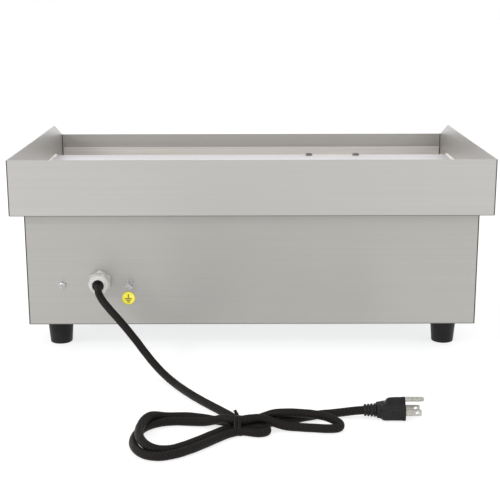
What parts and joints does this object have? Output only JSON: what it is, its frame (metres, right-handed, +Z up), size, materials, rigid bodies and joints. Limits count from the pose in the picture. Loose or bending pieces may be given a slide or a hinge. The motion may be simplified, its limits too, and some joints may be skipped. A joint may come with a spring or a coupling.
{
  "type": "flat top griddle",
  "caption": "Countertop electric flat top griddle with a splash guard, grease trough and drawer, a thermostat knob, rubber feet and a mains lead tied in a hank.",
  "frame": {"origin": "on the surface it stands on, under the middle of the griddle's own box (the mains lead is left out)", "axes": "+X to the right seen from the front, +Y towards the back where the lead leaves, +Z up; the controls face -Y"},
  "size_m": [0.55, 0.6861, 0.23],
  "materials": {
    "stainless": "No. 4 brushed stainless sheet, 1.2 mm",
    "plate_steel": "ground steel cooking plate, 8 mm",
    "seal": "high-temperature sealant bead round the plate",
    "galvanised": "galvanised sheet steel",
    "screw_steel": "bright zinc-plated fasteners",
    "element_steel": "dark oxidised tubular heater sheath",
    "insulation": "ceramic fibre blanket",
    "rubber_black": "moulded black rubber",
    "cord_black": "black flexible mains lead jacket",
    "plug_black": "moulded black plug",
    "prong_metal": "nickel-plated blades and pin",
    "gland_white": "white nylon cable gland",
    "seal_rubber": "neoprene sealing ring",
    "knob_black": "moulded black phenolic",
    "dial_silver": "satin aluminium dial with printed temperature marks",
    "lamp_green": "green indicator lens",
    "lamp_amber": "amber indicator lens",
    "nylon": "natural nylon lamp holders",
    "thermostat": "dark phenolic switch body with steel bracket",
    "ceramic": "white porcelain terminal block with brass screws",
    "wire": "heat-resistant sleeved wire",
    "earth": "green and yellow earth wire",
    "copper": "copper capillary and bulb",
    "disc_yellow": "yellow adhesive disc with a dark bonding symbol"
  },
  "bodies": {
    "root": {"hood": "stainless", "griddle_plate": "plate_steel", "plate_seal": "seal", "plate_support_frame": "galvanised", "grease_trough": "stainless", "drain_spout": "stainless", "grease_chute": "stainless", "chute_screws": "screw_steel", "cabinet_wrap": "stainless", "base_panel": "galvanised", "base_screws": "screw_steel", "front_panel": "stainless", "front_panel_screws": "screw_steel", "hood_screws": "screw_steel", "foot_screws": "screw_steel", "heating_element_rear": "element_steel", "heating_element_front": "element_steel", "element_clamps": "galvanised", "clamp_studs": "screw_steel", "insulation_blanket": "insulation", "heat_shield": "galvanised", "thermostat_body": "thermostat", "thermostat_screws": "screw_steel", "bulb_and_capillary": "copper", "dial_plate": "dial_silver", "power_lamp_lens": "lamp_green", "heating_lamp_lens": "lamp_amber", "lamp_bodies": "nylon", "limit_cutout": "thermostat", "terminal_block": "ceramic", "power_wires": "wire", "earth_wire": "earth", "drawer_guide_left": "galvanised", "drawer_guide_right": "galvanised", "gland_body": "gland_white", "gland_nut": "gland_white", "gland_seal": "seal_rubber", "gland_locknut": "gland_white", "bonding_stud": "screw_steel", "bonding_disc": "disc_yellow", "back_screw": "screw_steel", "cord_inner": "cord_black", "cord_lead": "cord_black", "cord_hank": "cord_black", "cord_tail": "cord_black", "cord_tie": "cord_black", "plug_body": "plug_black", "plug_relief": "plug_black", "plug_prongs": "prong_metal", "foot_rear_left": "rubber_black", "foot_rear_right": "rubber_black", "foot_front_left": "rubber_black", "foot_front_right": "rubber_black"},
    "knob": {"control_knob": "knob_black", "thermostat_shaft": "screw_steel"},
    "drawer": {"drawer_tray": "stainless", "drawer_front": "stainless", "drawer_handle": "stainless", "handle_screws": "screw_steel"}
  },
  "joints": [
    {"name": "knob_turn", "type": "hinge", "parent": "root", "child": "knob", "pos_m": [0.15, -0.175, 0.1], "axis": [0, 1, 0], "range_deg": [0, 280]},
    {"name": "drawer_slide", "type": "slide", "parent": "root", "child": "drawer", "axis": [0, -1, 0], "range_m": [0, 0.2]}
  ]
}
